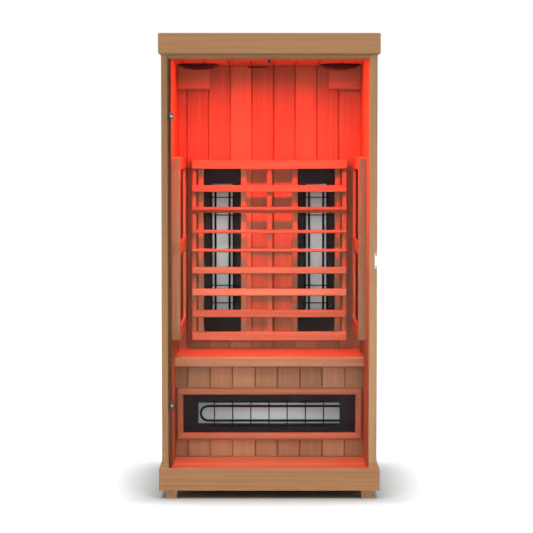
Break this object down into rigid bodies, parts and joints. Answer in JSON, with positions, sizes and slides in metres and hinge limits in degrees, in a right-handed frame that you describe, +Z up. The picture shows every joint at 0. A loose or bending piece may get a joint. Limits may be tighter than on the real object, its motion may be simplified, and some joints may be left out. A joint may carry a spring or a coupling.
{
  "type": "infrared sauna cabin",
  "caption": "Upright timber infrared sauna cabin with a hinged glass door, a bench, a slatted backrest and tube heaters behind guards.",
  "frame": {"origin": "on the ground under the middle of the cabin", "axes": "+Z up, the door faces -Y, +X to the right when facing the door from outside"},
  "size_m": [0.92, 0.96, 1.939],
  "materials": {
    "cedar": "smooth oiled softwood boards",
    "dark_timber": "dark stained softwood",
    "black_enamel": "satin black heat-proof paint",
    "reflector_aluminium": "satin anodised",
    "heating_tube": "dark oxidised tube",
    "carbon_panel": "matt black laminate",
    "black_plastic": "matt black",
    "hinge_metal": "dark bronzed steel",
    "pull_plastic": "glossy white",
    "light_lens": "red translucent lens",
    "door_glass": "clear toughened glass"
  },
  "bodies": {
    "cabin": {"air_vent": "black_plastic", "back_wall": "cedar", "backrest_frame": "cedar", "backrest_slat_1": "cedar", "backrest_slat_2": "cedar", "backrest_slat_3": "cedar", "backrest_slat_4": "cedar", "backrest_slat_5": "cedar", "backrest_slat_6": "cedar", "backrest_slat_7": "cedar", "base_plinth": "cedar", "bench_front_rail": "cedar", "bench_seat": "cedar", "calf_heater_element": "heating_tube", "calf_heater_frame": "cedar", "calf_heater_housing": "black_enamel", "calf_heater_reflector": "reflector_aluminium", "calf_heater_wire_guard": "black_enamel", "ceiling_light": "light_lens", "ceiling_panel": "cedar", "crown_moulding": "cedar", "door_sill": "cedar", "floor_panel": "cedar", "front_header": "cedar", "front_left_foot": "cedar", "front_left_post": "cedar", "front_right_foot": "cedar", "front_right_post": "cedar", "hinge_jamb": "dark_timber", "kick_panel": "cedar", "left_back_heater_element": "heating_tube", "left_back_heater_housing": "black_enamel", "left_back_heater_reflector": "reflector_aluminium", "left_back_heater_surround": "cedar", "left_back_heater_wire_guard": "black_enamel", "left_corner_box": "cedar", "left_side_guard": "cedar", "left_side_heater": "carbon_panel", "left_speaker": "black_plastic", "left_wall": "cedar", "lower_hinge_leaf": "hinge_metal", "power_supply": "black_plastic", "rear_left_foot": "cedar", "rear_right_foot": "cedar", "right_back_heater_element": "heating_tube", "right_back_heater_housing": "black_enamel", "right_back_heater_reflector": "reflector_aluminium", "right_back_heater_surround": "cedar", "right_back_heater_wire_guard": "black_enamel", "right_corner_box": "cedar", "right_side_guard": "cedar", "right_side_heater": "carbon_panel", "right_speaker": "black_plastic", "right_wall": "cedar", "temperature_sensor": "black_plastic", "upper_hinge_leaf": "hinge_metal"},
    "door": {"door_glass": "door_glass", "door_pull": "pull_plastic", "upper_hinge_clamp": "hinge_metal", "lower_hinge_clamp": "hinge_metal"}
  },
  "joints": [
    {"name": "door_swing", "type": "hinge", "parent": "cabin", "child": "door", "pos_m": [-0.416, -0.4745, 1], "axis": [0, 0, -1], "range_deg": [0, 105]}
  ]
}
